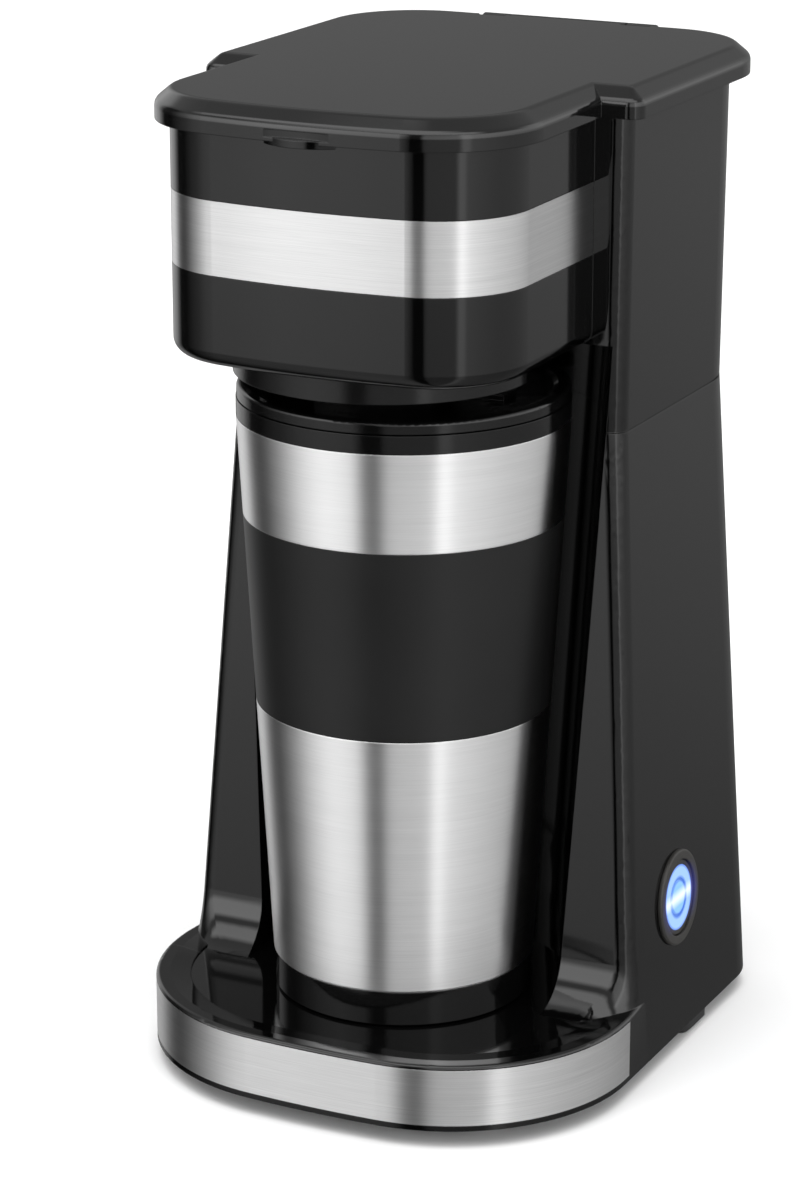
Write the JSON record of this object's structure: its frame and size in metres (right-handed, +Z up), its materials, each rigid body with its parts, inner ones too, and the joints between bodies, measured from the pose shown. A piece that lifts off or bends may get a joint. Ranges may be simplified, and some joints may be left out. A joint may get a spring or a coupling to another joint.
{
  "type": "drip coffee maker",
  "caption": "Black drip coffee maker with a hinged lid, rear water tank, filter basket, steel bands, lit side button and a tapered steel travel mug standing in its bay.",
  "frame": {"origin": "centre of the footprint box on the surface the feet stand on", "axes": "+Z up, the mug and the head face -Y, the power button is on the +X side"},
  "size_m": [0.138, 0.175, 0.275],
  "materials": {
    "housing_plastic": "gloss",
    "lid_plastic": "gloss",
    "inner_plastic": "satin",
    "band_steel": "brushed",
    "mug_steel": "brushed",
    "sleeve_black": "satin",
    "mug_plastic": "satin",
    "button_plastic": "gloss",
    "lens_blue": "gloss",
    "foot_rubber": "matte",
    "hose_silicone": "matte",
    "tank_plastic": "satin",
    "fitting_plastic": "satin",
    "gland_plastic": "satin",
    "heater_aluminium": "cast",
    "rod_metal": "matte",
    "small_steel": "bright",
    "board_green": "satin"
  },
  "bodies": {
    "housing": {"upper_housing": "housing_plastic", "lower_housing": "housing_plastic", "base_rim": "housing_plastic", "seam_screws": "small_steel", "base_plate": "inner_plastic", "base_screws": "small_steel", "rubber_feet": "foot_rubber", "base_band": "band_steel", "head_band": "band_steel", "hinge_pin": "small_steel", "filter_basket": "inner_plastic", "filter_frame": "inner_plastic", "filter_mesh": "small_steel", "drip_outlet": "inner_plastic", "water_tank": "tank_plastic", "tank_seal": "foot_rubber", "tank_hose": "hose_silicone", "valve_body": "fitting_plastic", "valve_cap": "fitting_plastic", "inlet_hose": "hose_silicone", "boiler_tube": "heater_aluminium", "heating_rod": "rod_metal", "heater_saddles": "heater_aluminium", "heater_straps": "heater_aluminium", "strap_screws": "small_steel", "thermostat": "heater_aluminium", "thermal_fuse": "rod_metal", "riser_hose": "hose_silicone", "hose_clamps": "small_steel", "button_bezel": "button_plastic", "power_switch": "fitting_plastic", "circuit_board": "board_green", "board_screws": "small_steel", "indicator_light": "lens_blue", "terminal_block": "fitting_plastic", "cord_gland": "gland_plastic"},
    "lid": {"lid_shell": "lid_plastic", "lid_liner": "inner_plastic", "lid_screws": "small_steel"},
    "button": {"power_button": "button_plastic", "button_lens": "lens_blue"},
    "mug": {"mug_shell": "mug_steel", "mug_sleeve": "sleeve_black", "mug_liner": "mug_steel", "mug_foot": "mug_plastic", "mug_collar": "mug_plastic"},
    "mug_lid": {"mug_lid": "mug_plastic", "mug_lid_seal": "foot_rubber"},
    "sip_slider": {"sip_slider": "mug_plastic"},
    "check_ball": {"check_ball": "small_steel"},
    "spout": {"hot_water_spout": "small_steel"}
  },
  "joints": [
    {"name": "lid_hinge", "type": "hinge", "parent": "housing", "child": "lid", "pos_m": [0, 0.0794, 0.2703], "axis": [-1, 0, 0], "range_deg": [0, 100]},
    {"name": "button_press", "type": "slide", "parent": "housing", "child": "button", "axis": [-0.9981, 0, -0.0617], "range_m": [0, 0.002], "stiffness_N_per_m": 400},
    {"name": "mug_slide", "type": "slide", "parent": "housing", "child": "mug", "axis": [0, -0.9982, 0.0593], "range_m": [0, 0.15]},
    {"name": "mug_lid_turn", "type": "hinge", "parent": "mug", "child": "mug_lid", "pos_m": [0, -0.026, 0.1903], "axis": [0, 0, 1], "range_deg": [0, 90]},
    {"name": "sip_slide", "type": "slide", "parent": "mug_lid", "child": "sip_slider", "axis": [-1, 0, 0], "range_m": [0, 0.011]},
    {"name": "check_ball_lift", "type": "slide", "parent": "housing", "child": "check_ball", "axis": [0, 0, 1], "range_m": [0, 0.002]},
    {"name": "spout_swivel", "type": "hinge", "parent": "housing", "child": "spout", "pos_m": [-0.044, 0.0254, 0.248], "axis": [0, 0, 1], "range_deg": [0, 55]}
  ]
}
